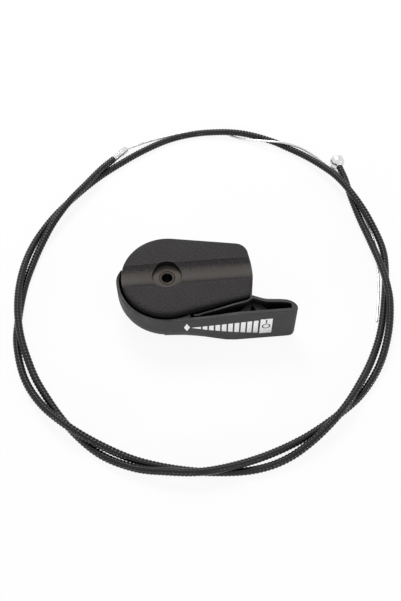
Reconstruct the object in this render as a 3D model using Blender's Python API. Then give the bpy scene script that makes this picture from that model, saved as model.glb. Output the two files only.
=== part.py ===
"""Throttle control lever for a 22 mm handlebar, with its Bowden cable lying loose in two turns around it.

The lever unit lies on the lever's domed face, with the saddle for the handlebar upwards. Metres, +Z up.
The origin is on the surface, under the middle of the lever unit's plan.
"""

import math

import bmesh
import bpy
import mathutils
import numpy as np

# Clearances
FIT = 0.0003
THROUGH = 0.005

# Handlebar and clamp bolt that the unit is made for
BAR_DIAMETER = 0.022
BOLT_HOLE = 0.0064

# Lever, moulded in one piece: domed cup, rim and hollow handle
RIM_RADIUS = 0.0297
RIM_TOP = 0.0253
RIM_WALL = 0.0015
RIM_EDGE = 0.0004
RIM_GAP = 0.0012
RIM_FULL_ANGLE = 179.0
RIM_END_ANGLE = 152.0
CUP_END_ANGLE = 293.0
DOME_ROUNDING = 0.015
DISH_TOP = 0.011
GATE_MARK_RADIUS = 0.0008
GATE_MARK_ANGLE = 198.5

# Handle: its top edge, the height and spread of its rounded foot along x, its plan beyond the tip of the back
# wall as (share of the way to the nose, front set in, depth, bottom lifted), and the thin inner wall as
# (x, depth, bottom). Depths are measured back from the front wall.
HANDLE_REACH = 0.0724
HANDLE_WALL = 0.0021
HANDLE_FLOOR = 0.002
HANDLE_STEP = 0.006
HANDLE_DRAFT = 0.0005
FRONT_STEP = 0.0004
TIP_PLACE = 0.0476
HANDLE_CREST = ((0.017, RIM_TOP), (0.027, 0.0261), (0.037, 0.0275))
HANDLE_ROUNDING = ((0.0, 0.015), (0.010, 0.013), (0.020, 0.0087), (0.030, 0.0030), (0.035, 0.0009))
FOOT_SPREAD = ((0.010, 0.0), (0.035, HANDLE_DRAFT))
GRIP = (
    (0.000, 0.0, 0.0129, 0.0),
    (0.115, 0.0, 0.0116, 0.0),
    (0.215, 0.0, 0.0105, 0.0),
    (0.315, 0.0, 0.0097, 0.0),
    (0.470, 0.0, 0.0092, 0.0),
    (0.620, 0.0, 0.0089, 0.0),
    (0.775, 0.0, 0.0082, 0.0),
    (0.870, 0.0, 0.0072, 0.0001),
    (0.930, 0.0001, 0.0061, 0.0005),
    (0.970, 0.0005, 0.0049, 0.0013),
    (0.992, 0.0010, 0.0040, 0.0023),
    (1.000, 0.0015, 0.0032, 0.0034),
)
THIN_WALL = 0.0012
THIN_WALL_LINE = (
    (0.0135, 0.0038, 0.0046),
    (0.0162, 0.0038, 0.0038),
    (0.0200, 0.0048, 0.0022),
    (0.0277, 0.0061, 0.001),
    (0.0372, 0.0077, 0.001),
    (0.0443, 0.0092, 0.001),
    (0.0467, 0.0106, 0.001),
    (0.0486, 0.0114, 0.001),
)
WEB_TOP = 0.0225
WEB_THICKNESS = 0.002
WEB_PLAN = ((0.0340, 0.0011), (0.0590, 0.0011), (0.0523, 0.0092), (0.0478, 0.0111), (0.0440, 0.0085))
WEB_HOLE = ((0.0444, 0.0027), (0.0506, 0.0027), (0.0475, 0.0094))

# Housing, moulded in one piece
HOUSING_TOP = 0.030
HOUSING_WALL = 0.0022
HOUSING_EDGE = 0.0026
HOUSING_DRAFT = 0.0004
SKIRT_BOTTOM = 0.0135
END_REACH = 0.0503
END_BULGE = 0.044
FAR_CORNER_STAND = 0.00079
FAR_CORNER_INWARD = 0.0154
FAR_CORNER_RADIUS = 0.0082
NEAR_CORNER_STAND = 0.00036
NEAR_CORNER_DEPTH = 0.0141
NEAR_CORNER_RADIUS = 0.0035
SADDLE_DEPTH = 0.0033
RECESS_RADIUS = 0.0089
RECESS_FLOOR = 0.0256
CORE_THICKNESS = 0.0026
CORE_HALF_WIDTH = 0.0106
TOP_PLATE = 0.0027
BOSS_RADIUS = 0.0076
BOSS_BOTTOM = 0.0164

# Pivot stack on the bolt's axis
BUSH_WALL = 0.0013
FLANGE_RADIUS = 0.0078
FLANGE_THICKNESS = 0.0015
SLEEVE_WALL = 0.001
HUB_WALL = 0.0023
HUB_BASE_RADIUS = 0.012
HUB_BASE_TOP = 0.005
PLATE_RADIUS = 0.0155
PLATE_THICKNESS = 0.0024
PLATE_TOP = 0.0122
THRUST_THICKNESS = 0.001
THRUST_RADIUS = 0.008
WAVE_SHEET = 0.0005
WAVE_HEIGHT = 0.0007
WAVE_COUNT = 3

# Click stop
BALL_RADIUS = 0.0019
BALL_PLACE = 0.0122
DIMPLE_DEPTH = 0.0003
CLICK_ANGLES = (0.0, 20.0, 42.0, 65.0)
PILLAR_WALL = 0.0014
SPRING_WIRE = 0.0005
SPRING_TURNS = 5
SPRING_TOP = 0.0217

# Cable socket in the housing's end and nipple post on the lever
SOCKET_SIDE = 0.010
SOCKET_HEIGHT = 0.0195
SOCKET_DEPTH = 0.0075
SOCKET_BLOCK_LENGTH = 0.0125
SOCKET_WALL = 0.0014
POST_RADIUS = 0.005
POST_PLACE = 0.017
POST_ANGLE = 120.0
POST_TOP = 0.021
POCKET_DEPTH = 0.006

# Cable cover under the housing's end, and its screws
COVER_THICKNESS = 0.0016
COVER_INNER_RADIUS = 0.0225
SCREW_RADIUS = 0.0013
SCREW_HEAD_RADIUS = 0.0026
SCREW_HEAD_DEPTH = 0.0012
SCREW_LENGTH = 0.0075
SIDE_SCREW_INWARD = 0.0183
FAR_SCREW_INWARD = 0.0095
NEAR_SCREW_DEPTH = 0.0126
END_SCREW_INWARD = 0.0048
END_SCREW_SIDE = -0.006
SCREW_PILLAR_RADIUS = 0.003

# Cable
SHEATH_DIAMETER = 0.0045
WIRE_DIAMETER = 0.0014
CAP_RADIUS = 0.0047
CAP_LENGTH = 0.0072
CAP_MOUTH_DEPTH = 0.0030
NIPPLE_RADIUS = 0.0029
NIPPLE_LENGTH = 0.0050
FERRULE_RADIUS = 0.0020
FERRULE_COLLAR_RADIUS = 0.0023
FERRULE_LENGTH = 0.0140
FERRULE_COLLAR_LENGTH = 0.0062
CORD_POINTS = 80

# The sheath's middle line, from the ferrule to the cap, where it lies: points chosen by hand along the
# coil. It rises where it crosses over itself and over the inner wire.
SHEATH_ROUTE = [
    (-0.0508, 0.1153, 0.0048), (-0.0591, 0.1055, 0.0067), (-0.0691, 0.0928, 0.0074),
    (-0.0805, 0.0787, 0.0074), (-0.0904, 0.0638, 0.0060), (-0.0973, 0.0508, 0.0038),
    (-0.1031, 0.0365, 0.0024), (-0.1084, 0.0175, 0.0023), (-0.1114, -0.0045, 0.0023),
    (-0.1119, -0.0225, 0.0023), (-0.1071, -0.0445, 0.0026), (-0.0971, -0.0630, 0.0048),
    (-0.0826, -0.0783, 0.0074), (-0.0651, -0.0905, 0.0054), (-0.0461, -0.1001, 0.0026),
    (-0.0256, -0.1068, 0.0023), (-0.0051, -0.1105, 0.0023), (0.0159, -0.1113, 0.0023),
    (0.0339, -0.1073, 0.0027), (0.0509, -0.0983, 0.0052), (0.0689, -0.0835, 0.0074),
    (0.0829, -0.0665, 0.0052), (0.0944, -0.0490, 0.0026), (0.1034, -0.0300, 0.0023),
    (0.1109, -0.0055, 0.0023), (0.1153, 0.0145, 0.0023), (0.1161, 0.0275, 0.0026),
    (0.1136, 0.0410, 0.0042), (0.1089, 0.0555, 0.0070), (0.1025, 0.0705, 0.0088),
    (0.0961, 0.0845, 0.0079), (0.0879, 0.0973, 0.0056), (0.0795, 0.1078, 0.0036),
    (0.0689, 0.1175, 0.0024), (0.0584, 0.1250, 0.0023), (0.0469, 0.1299, 0.0034),
    (0.0349, 0.1331, 0.0042), (0.0219, 0.1355, 0.0034), (0.0069, 0.1363, 0.0023),
    (-0.0111, 0.1325, 0.0023), (-0.0291, 0.1241, 0.0023), (-0.0461, 0.1133, 0.0023),
    (-0.0631, 0.1005, 0.0023), (-0.0811, 0.0828, 0.0023), (-0.0941, 0.0665, 0.0023),
    (-0.1041, 0.0480, 0.0029), (-0.1095, 0.0265, 0.0059), (-0.1113, 0.0045, 0.0074),
    (-0.1096, -0.0165, 0.0064), (-0.1045, -0.0355, 0.0036), (-0.0976, -0.0520, 0.0023),
    (-0.0831, -0.0758, 0.0023), (-0.0661, -0.0941, 0.0023), (-0.0471, -0.1048, 0.0040),
    (-0.0291, -0.1095, 0.0066), (-0.0121, -0.1115, 0.0074), (0.0059, -0.1095, 0.0065),
    (0.0269, -0.1035, 0.0035), (0.0489, -0.0945, 0.0023), (0.0694, -0.0825, 0.0023),
    (0.0839, -0.0713, 0.0023), (0.0969, -0.0550, 0.0028), (0.1059, -0.0355, 0.0048),
    (0.1105, -0.0170, 0.0070), (0.1115, -0.0025, 0.0074), (0.1111, 0.0110, 0.0066),
    (0.1089, 0.0325, 0.0044), (0.1061, 0.0510, 0.0038), (0.1039, 0.0695, 0.0040),
    (0.1029, 0.0835, 0.0043), (0.1010, 0.0941, 0.0049),
]

# The bare stretch of inner wire, from just past the ferrule to its cut end.
WIRE_ROUTE = [
    (-0.0351, 0.1289, 0.0022), (-0.0271, 0.1327, 0.0013), (-0.0166, 0.1361, 0.0008),
    (-0.0051, 0.1387, 0.0008), (0.0069, 0.1401, 0.0008), (0.0179, 0.1395, 0.0008),
    (0.0269, 0.1365, 0.0008), (0.0374, 0.1303, 0.0012), (0.0494, 0.1247, 0.0040),
    (0.0589, 0.1211, 0.0057), (0.0669, 0.1187, 0.0059), (0.0774, 0.1148, 0.0042),
    (0.0867, 0.1091, 0.0014), (0.0944, 0.1008, 0.0008), (0.1009, 0.0909, 0.0008),
    (0.1052, 0.0790, 0.0008), (0.1075, 0.0665, 0.0008), (0.1107, 0.0515, 0.0008),
    (0.1123, 0.0375, 0.0008), (0.1125, 0.0245, 0.0008), (0.1107, 0.0132, 0.0008),
    (0.1078, -0.0031, 0.0008), (0.1018, -0.0255, 0.0008),
]

# Sizes that follow from those above
BUSH_RADIUS = BOLT_HOLE / 2 + BUSH_WALL
SLEEVE_INNER = BUSH_RADIUS + FIT
SLEEVE_OUTER = SLEEVE_INNER + SLEEVE_WALL
HUB_BORE = SLEEVE_OUTER + FIT
HUB_RADIUS = HUB_BORE + HUB_WALL
RIM_INNER = RIM_RADIUS - RIM_WALL
HOUSING_RADIUS = RIM_INNER - RIM_GAP
FRONT = -RIM_RADIUS - FRONT_STEP
DISH_RADIUS = RIM_RADIUS - DOME_ROUNDING + math.sqrt(DOME_ROUNDING**2 - (DOME_ROUNDING - DISH_TOP) ** 2)
PIVOT = ((RIM_RADIUS - HANDLE_REACH) / 2, (HANDLE_DRAFT - FRONT - DISH_RADIUS) / 2, 0.0)
CORE_BOTTOM = RECESS_FLOOR - CORE_THICKNESS
COVER_TOP = SKIRT_BOTTOM - FIT
COVER_BOTTOM = COVER_TOP - COVER_THICKNESS
THRUST_BOTTOM = PLATE_TOP + FIT
WAVE_BOTTOM = THRUST_BOTTOM + THRUST_THICKNESS + FIT
BACKING_BOTTOM = WAVE_BOTTOM + WAVE_SHEET + WAVE_HEIGHT + FIT
BACKING_THICKNESS = BOSS_BOTTOM - FIT - BACKING_BOTTOM
BALL_CENTRE = PLATE_TOP + FIT + BALL_RADIUS
PILLAR_BORE = BALL_RADIUS + FIT
SOCKET_RADIUS = CAP_RADIUS + FIT
NIPPLE_WAY = NIPPLE_RADIUS + FIT
BULGE_CENTRE = END_REACH - END_BULGE
NEAR_CORNER_REACH = END_BULGE - NEAR_CORNER_RADIUS + NEAR_CORNER_STAND
NEAR_CORNER_Y = FRONT + NEAR_CORNER_DEPTH
NEAR_CORNER_X = BULGE_CENTRE + math.sqrt(NEAR_CORNER_REACH**2 - NEAR_CORNER_Y**2)
FAR_CORNER_REACH = END_BULGE - FAR_CORNER_RADIUS + FAR_CORNER_STAND
FAR_CORNER_Y = HOUSING_RADIUS - FAR_CORNER_INWARD
FAR_CORNER_X = BULGE_CENTRE + math.sqrt(FAR_CORNER_REACH**2 - FAR_CORNER_Y**2)
SCREW_PLACES = (
    (END_REACH - SIDE_SCREW_INWARD, HOUSING_RADIUS - FAR_SCREW_INWARD),
    (END_REACH - SIDE_SCREW_INWARD, FRONT + NEAR_SCREW_DEPTH),
    (END_REACH - END_SCREW_INWARD, END_SCREW_SIDE),
)


def clear_scene():
    for obj in list(bpy.data.objects):
        bpy.data.objects.remove(obj, do_unlink=True)


def make_material(name, colour, roughness, metallic=0.0):
    material = bpy.data.materials.new(name)
    material.use_nodes = True
    shader = material.node_tree.nodes["Principled BSDF"]
    shader.inputs["Base Color"].default_value = (*colour, 1.0)
    shader.inputs["Roughness"].default_value = roughness
    shader.inputs["Metallic"].default_value = metallic
    return material


def make_object(name, points, faces, material=None, parent=None):
    """A smooth-shaded mesh object whose faces all point out."""
    form = bmesh.new()
    corners = [form.verts.new(point) for point in points]
    for face in faces:
        form.faces.new([corners[i] for i in face])
    bmesh.ops.recalc_face_normals(form, faces=form.faces)
    mesh = bpy.data.meshes.new(name)
    form.to_mesh(mesh)
    form.free()
    mesh.shade_smooth()
    mesh.set_sharp_from_angle(angle=math.radians(35))
    obj = bpy.data.objects.new(name, mesh)
    bpy.context.scene.collection.objects.link(obj)
    obj.parent = parent
    if material:
        mesh.materials.append(material)
    return obj


def stack(name, rings, material=None, parent=None):
    """A solid through rings of equal point counts, closed flat at its first and last ring."""
    count = len(rings[0])
    points = [point for ring in rings for point in ring]
    faces = [list(range(count)), list(range(len(points) - count, len(points)))]
    for level in range(len(rings) - 1):
        base = level * count
        for i in range(count):
            after = (i + 1) % count
            faces.append((base + i, base + after, base + count + after, base + count + i))
    return make_object(name, points, faces, material, parent)


def prism(name, outline, low, high, material=None, parent=None):
    rings = [[(x, y, z) for x, y in outline] for z in (low, high)]
    return stack(name, rings, material, parent)


def block(name, low, high, parent=None):
    outline = [(low[0], low[1]), (high[0], low[1]), (high[0], high[1]), (low[0], high[1])]
    return prism(name, outline, low[2], high[2], parent=parent)


def turned(name, profile, segments=48, material=None, parent=None, phase=0.5):
    """A solid of revolution about Z from a closed outline of (radius, height) points.
    An outline that starts and ends on the axis makes a solid with no bore. The phase turns the facets
    by a share of one, so that a cutter's corners don't fall on the edges of what it cuts."""
    points, rows = [], []
    for radius, height in profile:
        if radius == 0:
            rows.append([len(points)] * segments)
            points.append((0, 0, height))
            continue
        rows.append(list(range(len(points), len(points) + segments)))
        for step in range(segments):
            angle = 2 * math.pi * (step + phase) / segments
            points.append((radius * math.cos(angle), radius * math.sin(angle), height))
    faces = []
    for i, row in enumerate(rows):
        above = rows[(i + 1) % len(rows)]
        for step in range(segments):
            after = (step + 1) % segments
            corners = [row[step], row[after], above[after], above[step]]
            corners = list(dict.fromkeys(corners))
            if len(corners) > 2:
                faces.append(corners)
    return make_object(name, points, faces, material, parent)


def cylinder(name, radius, low, high, place=(0, 0), segments=32, parent=None, phase=0.5):
    outline = [(0, low), (radius, low), (radius, high), (0, high)]
    obj = turned(name, outline, segments, parent=parent, phase=phase)
    obj.location = (place[0], place[1], 0)
    return obj


def drill(name, radius, low, high, place=(0, 0), segments=32, parent=None):
    return cylinder(name, radius, low, high, place, segments, parent, phase=0.25)


def combine(target, other, operation):
    """Joins another solid to the target, or cuts it away, and keeps that solid as a hidden guide."""
    other.hide_render = True
    other.display_type = "WIRE"
    modifier = target.modifiers.new(other.name, "BOOLEAN")
    modifier.operation = operation
    modifier.solver = "EXACT"
    modifier.object = other


def cut(target, *others):
    for other in others:
        combine(target, other, "DIFFERENCE")


def join(target, *others):
    for other in others:
        combine(target, other, "UNION")


def arc(centre, radius, start, end, steps):
    """Points along an arc, with angles in degrees."""
    angles = [math.radians(start + (end - start) * i / steps) for i in range(steps + 1)]
    return [(centre[0] + radius * math.cos(a), centre[1] + radius * math.sin(a)) for a in angles]


def polar(radius, angle):
    return (radius * math.cos(math.radians(angle)), radius * math.sin(math.radians(angle)))


def tangent_normal(first, second):
    """Direction, in degrees, of the outward normal of the line that touches two circles (x, y, radius)."""
    dx, dy = second[0] - first[0], second[1] - first[1]
    lean = math.degrees(math.acos((first[2] - second[2]) / math.hypot(dx, dy)))
    return math.degrees(math.atan2(dy, dx)) - lean


def housing_outline(inset):
    """The housing's plan, drawn in by the inset: a band around four circles, counter-clockwise."""
    circles = [
        (0.0, 0.0, HOUSING_RADIUS - inset, 36),
        (NEAR_CORNER_X, NEAR_CORNER_Y, NEAR_CORNER_RADIUS - inset, 6),
        (BULGE_CENTRE, 0.0, END_BULGE - inset, 6),
        (FAR_CORNER_X, FAR_CORNER_Y, FAR_CORNER_RADIUS - inset, 8),
    ]
    points = []
    for i, (x, y, radius, steps) in enumerate(circles):
        start = tangent_normal(circles[i - 1], circles[i])
        end = tangent_normal(circles[i], circles[(i + 1) % len(circles)])
        while end < start:
            end += 360
        points += arc((x, y), radius, start, end, steps)
    return points


def clipped(outline, side, limit):
    """The part of a convex plan whose y, times side, is over the limit."""
    kept = []
    for (x0, y0), (x1, y1) in zip(outline, outline[1:] + outline[:1]):
        in0, in1 = side * y0 > limit, side * y1 > limit
        if in0:
            kept.append((x0, y0))
        if in0 != in1:
            share = (side * limit - y0) / (y1 - y0)
            kept.append((x0 + share * (x1 - x0), side * limit))
    return kept


def make_housing(pivot, plastic):
    levels = [(SKIRT_BOTTOM, 0.0)]
    for inward, height in arc((0, 0), HOUSING_EDGE, 0, 90, 5):
        levels.append((HOUSING_TOP - HOUSING_EDGE + height, HOUSING_DRAFT + HOUSING_EDGE - inward))
    rings = [[(x, y, z) for x, y in housing_outline(inset)] for z, inset in levels]
    housing = stack("base_housing", rings, plastic, pivot)

    ceiling = HOUSING_TOP - TOP_PLATE
    inside = housing_outline(HOUSING_WALL)
    cut(housing, prism("cavity", inside, SKIRT_BOTTOM - THROUGH, ceiling, parent=pivot))
    core_plan = clipped(housing_outline(HOUSING_WALL / 2), 1, -CORE_HALF_WIDTH)
    core_plan = clipped(core_plan, -1, -CORE_HALF_WIDTH)
    join(housing, prism("core", core_plan, CORE_BOTTOM, ceiling + TOP_PLATE / 4, parent=pivot))

    root = CORE_BOTTOM + CORE_THICKNESS / 2
    join(housing, cylinder("boss", BOSS_RADIUS, BOSS_BOTTOM, root, parent=pivot))
    pillar_radius = PILLAR_BORE + PILLAR_WALL
    ball_place = (-BALL_PLACE, 0)
    join(housing, cylinder("ball_pillar", pillar_radius, BALL_CENTRE + FIT, root, ball_place, parent=pivot))
    for i, place in enumerate(SCREW_PLACES):
        top = root if abs(place[1]) < CORE_HALF_WIDTH else ceiling + TOP_PLATE / 2
        pillar = cylinder(f"pillar_{i}", SCREW_PILLAR_RADIUS, SKIRT_BOTTOM, top, place, 24, pivot)
        join(housing, pillar)
    half = SOCKET_RADIUS + SOCKET_WALL
    end_wall = END_REACH - HOUSING_WALL / 2
    socket_block = block(
        "socket_block",
        (end_wall - SOCKET_BLOCK_LENGTH, SOCKET_SIDE - half, SKIRT_BOTTOM + FIT),
        (end_wall - HOUSING_WALL / 2, SOCKET_SIDE + half / 2, ceiling + TOP_PLATE / 4),
        pivot,
    )
    join(housing, socket_block)

    bar_axis = HOUSING_TOP - SADDLE_DEPTH + BAR_DIAMETER / 2
    groove = arc((0, bar_axis), BAR_DIAMETER / 2, 218, 322, 20)
    groove += [(groove[-1][0], bar_axis), (groove[0][0], bar_axis)]
    ends = (-RIM_RADIUS - THROUGH, END_REACH + THROUGH)
    cut(housing, stack("bar_groove", [[(x, y, z) for y, z in groove] for x in ends], parent=pivot))
    bore = BUSH_RADIUS + FIT
    bolt_way = [
        (0, BOSS_BOTTOM - THROUGH),
        (bore, BOSS_BOTTOM - THROUGH),
        (bore, RECESS_FLOOR),
        (RECESS_RADIUS, RECESS_FLOOR),
        (RECESS_RADIUS, bar_axis),
        (0, bar_axis),
    ]
    cut(housing, turned("bolt_way", bolt_way, 56, parent=pivot, phase=0.25))
    spring_ceiling = SPRING_TOP + FIT
    cut(housing, drill("spring_bore", PILLAR_BORE, 0, spring_ceiling, ball_place, 24, pivot))
    for i, place in enumerate(SCREW_PLACES):
        deep = COVER_BOTTOM + SCREW_LENGTH + FIT
        cut(housing, drill(f"screw_hole_{i}", SCREW_RADIUS + FIT, 0, deep, place, 16, pivot))
    cable_way = [
        (0, END_REACH - 2 * SOCKET_BLOCK_LENGTH),
        (NIPPLE_WAY, END_REACH - 2 * SOCKET_BLOCK_LENGTH),
        (NIPPLE_WAY, END_REACH - SOCKET_DEPTH),
        (SOCKET_RADIUS, END_REACH - SOCKET_DEPTH),
        (SOCKET_RADIUS, END_REACH + THROUGH),
        (0, END_REACH + THROUGH),
    ]
    way = turned("cable_way", cable_way, 32, parent=pivot, phase=0.25)
    way.rotation_euler = (0, math.radians(90), 0)
    way.location = (0, SOCKET_SIDE, SOCKET_HEIGHT)
    cut(housing, way)


def read_table(table, x):
    return float(np.interp(x, [row[0] for row in table], [row[1] for row in table]))


def handle_section(x, inset=0.0):
    """A cut across the handle at x: up its front, along its bottom, up its back. With an inset it is drawn in
    for the hollow, which is open at the top."""
    along = (x - TIP_PLACE) / (HANDLE_REACH - TIP_PLACE)
    shares = [row[0] for row in GRIP]
    set_in, depth, lift = [float(np.interp(along, shares, [row[i] for row in GRIP])) for i in (1, 2, 3)]
    front = FRONT + set_in + inset
    foot = front - read_table(FOOT_SPREAD, x)
    back = FRONT + depth - inset
    floor = lift + (HANDLE_FLOOR if inset else 0.0)
    rounding = max(read_table(HANDLE_ROUNDING, x) - inset, FIT)
    if x > TIP_PLACE:
        rounding = min(rounding, (back - foot) * 0.45)
    edge = min(HANDLE_FLOOR, back - foot) * 0.4
    overrun = foot + rounding - (back - edge)
    end = 270 if overrun <= 0 else 180 + math.degrees(math.acos(overrun / rounding))
    points = arc((foot + rounding, floor + rounding), rounding, 180, end, 6)
    low = points[-1][1]
    points += [(back - edge * 0.9, low + edge * 0.05), (back, low + edge)]
    if inset:
        top = HOUSING_TOP
        points = [(front, top)] + points + [(back, top)]
    else:
        top = read_table(HANDLE_CREST, x)
        edge = min(RIM_EDGE, (back - front) / 4)
        points = [(front + edge, top), (front, top - edge)] + points
        points += [(back, top - edge), (back - edge, top)]
    return [(x, y, z) for y, z in points]


def dome_wall(radius):
    """Height of the middle of the domed wall at a distance from the pivot."""
    outward = max(radius - (RIM_RADIUS - DOME_ROUNDING), 0.0)
    return DOME_ROUNDING - math.sqrt((DOME_ROUNDING - RIM_WALL / 2) ** 2 - outward**2)


def make_lever(pivot, plastic):
    dome = arc((RIM_RADIUS - DOME_ROUNDING, DOME_ROUNDING), DOME_ROUNDING, -90, 0, 8)
    rim = [(RIM_RADIUS, RIM_TOP - RIM_EDGE), (RIM_RADIUS - RIM_EDGE, RIM_TOP), (0, RIM_TOP)]
    lever = turned("control_lever", [(0, 0)] + dome + rim, 64, plastic, pivot)

    steps = int(TIP_PLACE / HANDLE_STEP)
    stations = [HANDLE_STEP * (i + 1 / 3) for i in range(steps)]
    stations += [TIP_PLACE + row[0] * (HANDLE_REACH - TIP_PLACE) for row in GRIP]
    root = [(-HANDLE_STEP * 2 / 3, y + RIM_EDGE, z) for x, y, z in handle_section(stations[0])]
    handle = stack("handle", [root] + [handle_section(x) for x in stations], parent=pivot)
    stations = [x for x in stations if HANDLE_STEP / 2 < x < HANDLE_REACH - HANDLE_WALL]
    cut(handle, stack("handle_inside", [handle_section(x, HANDLE_WALL) for x in stations], parent=pivot))
    join(lever, handle)

    inside = arc((RIM_RADIUS - DOME_ROUNDING, DOME_ROUNDING), DOME_ROUNDING - RIM_WALL, -90, 0, 8)
    high = HOUSING_TOP
    cup = [(0, RIM_WALL)] + inside + [(RIM_INNER, high), (0, high)]
    cut(lever, turned("cup_inside", cup, 64, parent=pivot, phase=0.25))

    cup_end = polar(RIM_RADIUS + FIT, CUP_END_ANGLE)
    inner_front = FRONT + HANDLE_WALL + FIT
    tip_back = FRONT + GRIP[0][2] + FIT
    far = RIM_RADIUS * 2
    plan = [
        (0, 0),
        cup_end,
        (cup_end[0], inner_front),
        (TIP_PLACE, inner_front),
        (TIP_PLACE, tip_back),
        (HANDLE_REACH, tip_back),
        (HANDLE_REACH, far),
        (0, far),
    ]
    levels = [(DISH_TOP, RIM_END_ANGLE), (RIM_TOP, RIM_FULL_ANGLE), (high, RIM_FULL_ANGLE)]
    rings = [[(x, y, z) for x, y in plan + [polar(far, angle)]] for z, angle in levels]
    cut(lever, stack("housing_gap", rings, parent=pivot))

    rings = []
    for x, depth, low in THIN_WALL_LINE:
        y0, y1 = FRONT + depth - THIN_WALL / 2, FRONT + depth + THIN_WALL / 2
        top = read_table(HANDLE_CREST, x)
        rings.append([(x, y0, low), (x, y1, low), (x, y1, top - FIT), (x, y1 - FIT, top), (x, y0, top)])
    join(lever, stack("thin_wall", rings, parent=pivot))

    plate_bottom = PLATE_TOP - PLATE_THICKNESS
    hub = [
        (0, RIM_WALL / 2),
        (HUB_BASE_RADIUS, RIM_WALL / 2),
        (HUB_BASE_RADIUS, HUB_BASE_TOP),
        (HUB_RADIUS, HUB_BASE_TOP),
        (HUB_RADIUS, plate_bottom),
        (PLATE_RADIUS, plate_bottom),
        (PLATE_RADIUS, PLATE_TOP),
        (0, PLATE_TOP),
    ]
    join(lever, turned("hub", hub, 48, parent=pivot))
    post = polar(POST_PLACE, POST_ANGLE)
    nipple_post = cylinder("nipple_post", POST_RADIUS, 0, POST_TOP, post, 24, pivot)
    for vertex in nipple_post.data.vertices:
        if vertex.co.z < POST_TOP / 2:
            vertex.co.z = dome_wall(math.hypot(post[0] + vertex.co.x, post[1] + vertex.co.y))
    join(lever, nipple_post)
    cut(lever, drill("nipple_pocket", NIPPLE_WAY, POST_TOP - POCKET_DEPTH, high, post, 24, pivot))
    slot = block(
        "wire_slot",
        (post[0], post[1] - WIRE_DIAMETER, POST_TOP - POCKET_DEPTH / 2),
        (post[0] + POST_RADIUS + THROUGH, post[1] + WIRE_DIAMETER, high),
        pivot,
    )
    cut(lever, slot)

    plan, hole = [[(x, FRONT + depth) for x, depth in rows] for rows in (WEB_PLAN, WEB_HOLE)]
    web = prism("web", plan, WEB_TOP - WEB_THICKNESS, WEB_TOP, parent=pivot)
    cut(web, prism("web_hole", hole, WEB_TOP - 2 * WEB_THICKNESS, WEB_TOP + WEB_THICKNESS, parent=pivot))
    join(lever, web)

    seat = FLANGE_RADIUS + FIT
    ceiling = 2 * FIT + FLANGE_THICKNESS
    bush_way = [(0, -THROUGH), (seat, -THROUGH), (seat, ceiling), (HUB_BORE, ceiling)]
    bush_way += [(HUB_BORE, high), (0, high)]
    cut(lever, turned("bush_way", bush_way, 48, parent=pivot, phase=0.25))
    for i, angle in enumerate(CLICK_ANGLES):
        dimple = make_ball(f"dimple_{i}", BALL_RADIUS, parent=pivot)
        x, y = polar(BALL_PLACE, 180 + angle)
        dimple.location = (x, y, PLATE_TOP + BALL_RADIUS - DIMPLE_DEPTH)
        cut(lever, dimple)
    x, y = polar(RIM_RADIUS, GATE_MARK_ANGLE)
    gate = make_ball("gate_mark", GATE_MARK_RADIUS, parent=pivot)
    gate.location = (x, y, RIM_TOP * 0.45)
    cut(lever, gate)


def make_ball(name, radius, material=None, parent=None):
    profile = [(0, -radius)] + arc((0, 0), radius, -90, 90, 8)[1:-1] + [(0, radius)]
    return turned(name, profile, 16, material, parent)


def make_pivot_stack(pivot, steel, nylon, spring_steel):
    flange_bottom = FIT
    flange_top = FIT + FLANGE_THICKNESS
    bush = [
        (BOLT_HOLE / 2, flange_bottom),
        (FLANGE_RADIUS, flange_bottom),
        (FLANGE_RADIUS, flange_top),
        (BUSH_RADIUS, flange_top),
        (BUSH_RADIUS, RECESS_FLOOR),
        (BOLT_HOLE / 2, RECESS_FLOOR),
    ]
    turned("pivot_bush", bush, 48, steel, pivot)
    ring("bearing_sleeve", SLEEVE_OUTER, flange_top + FIT, PLATE_TOP, nylon, pivot)
    ring("thrust_washer", THRUST_RADIUS, THRUST_BOTTOM, THRUST_BOTTOM + THRUST_THICKNESS, nylon, pivot)
    ring("backing_washer", BOSS_RADIUS, BACKING_BOTTOM, BACKING_BOTTOM + BACKING_THICKNESS, steel, pivot)

    steps = 48
    loops = []
    edges = [(SLEEVE_INNER, 0), (THRUST_RADIUS, 0), (THRUST_RADIUS, WAVE_SHEET), (SLEEVE_INNER, WAVE_SHEET)]
    for radius, lift in edges:
        loop = []
        for step in range(steps):
            angle = 2 * math.pi * step / steps
            wave = WAVE_HEIGHT * (1 - math.cos(WAVE_COUNT * angle)) / 2
            loop.append((radius * math.cos(angle), radius * math.sin(angle), WAVE_BOTTOM + lift + wave))
        loops.append(loop)
    points = [point for loop in loops for point in loop]
    faces = []
    for row in range(4):
        below, above = row * steps, (row + 1) % 4 * steps
        for step in range(steps):
            after = (step + 1) % steps
            faces.append((below + step, below + after, above + after, above + step))
    make_object("friction_washer", points, faces, spring_steel, pivot)


def ring(name, outer, low, high, material, parent):
    outline = [(SLEEVE_INNER, low), (outer, low), (outer, high), (SLEEVE_INNER, high)]
    return turned(name, outline, 40, material, parent)


def make_click_stop(pivot, spring_steel):
    ball = make_ball("detent_ball", BALL_RADIUS, spring_steel, pivot)
    ball.location = (-BALL_PLACE, 0, BALL_CENTRE)
    low = BALL_CENTRE + BALL_RADIUS + FIT + SPRING_WIRE / 2
    high = SPRING_TOP - SPRING_WIRE / 2
    radius = PILLAR_BORE - FIT - SPRING_WIRE / 2
    count = SPRING_TURNS * 10
    points = []
    for i in range(count + 1):
        angle = 2 * math.pi * i / 10
        height = low + (high - low) * i / count
        points.append((radius * math.cos(angle), radius * math.sin(angle), height))
    spring = make_tube("detent_spring", points, SPRING_WIRE, 1, spring_steel, pivot)
    spring.location = (-BALL_PLACE, 0, 0)


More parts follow.
